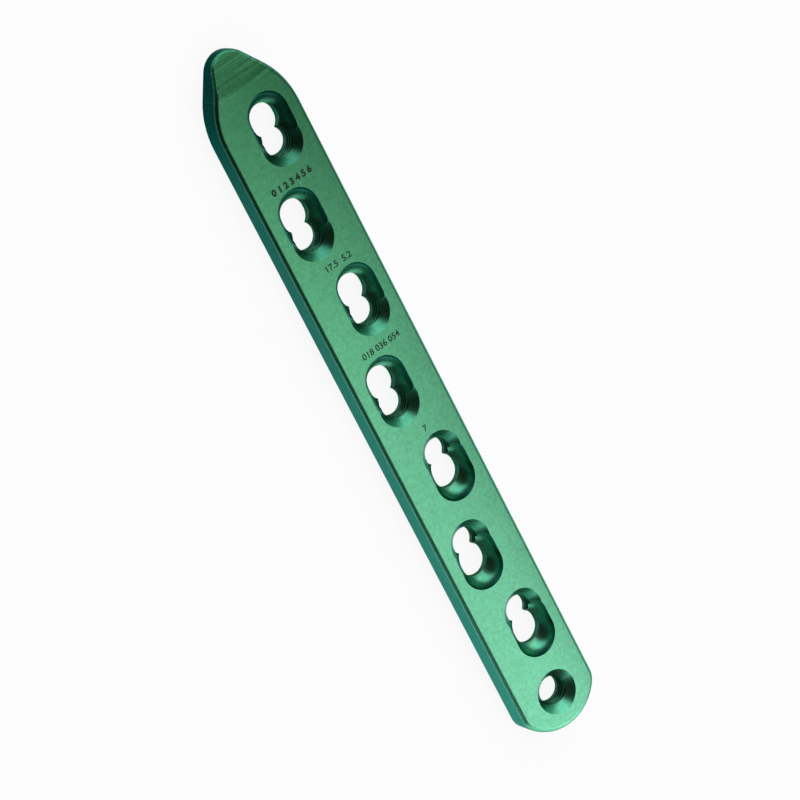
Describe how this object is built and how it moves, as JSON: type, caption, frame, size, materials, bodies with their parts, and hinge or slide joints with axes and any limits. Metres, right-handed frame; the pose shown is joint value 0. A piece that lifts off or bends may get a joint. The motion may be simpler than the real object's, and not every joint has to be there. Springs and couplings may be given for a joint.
{
  "type": "orthopedic bone plate",
  "caption": "Straight green anodised bone plate with a pointed tip, a rounded end, a staggered row of combination screw holes and a round locking hole.",
  "frame": {"origin": "bottom centre of the plate, on the plane that it lies on", "axes": "+X along the plate from the pointed end to the rounded end, +Y across it, +Z out of its outer face"},
  "size_m": [0.148, 0.0176, 0.0052],
  "materials": {
    "anodised_titanium": "green anodised titanium, satin, with fine grinding lines"
  },
  "bodies": {
    "root": {"bone_plate": "anodised_titanium"}
  },
  "joints": []
}
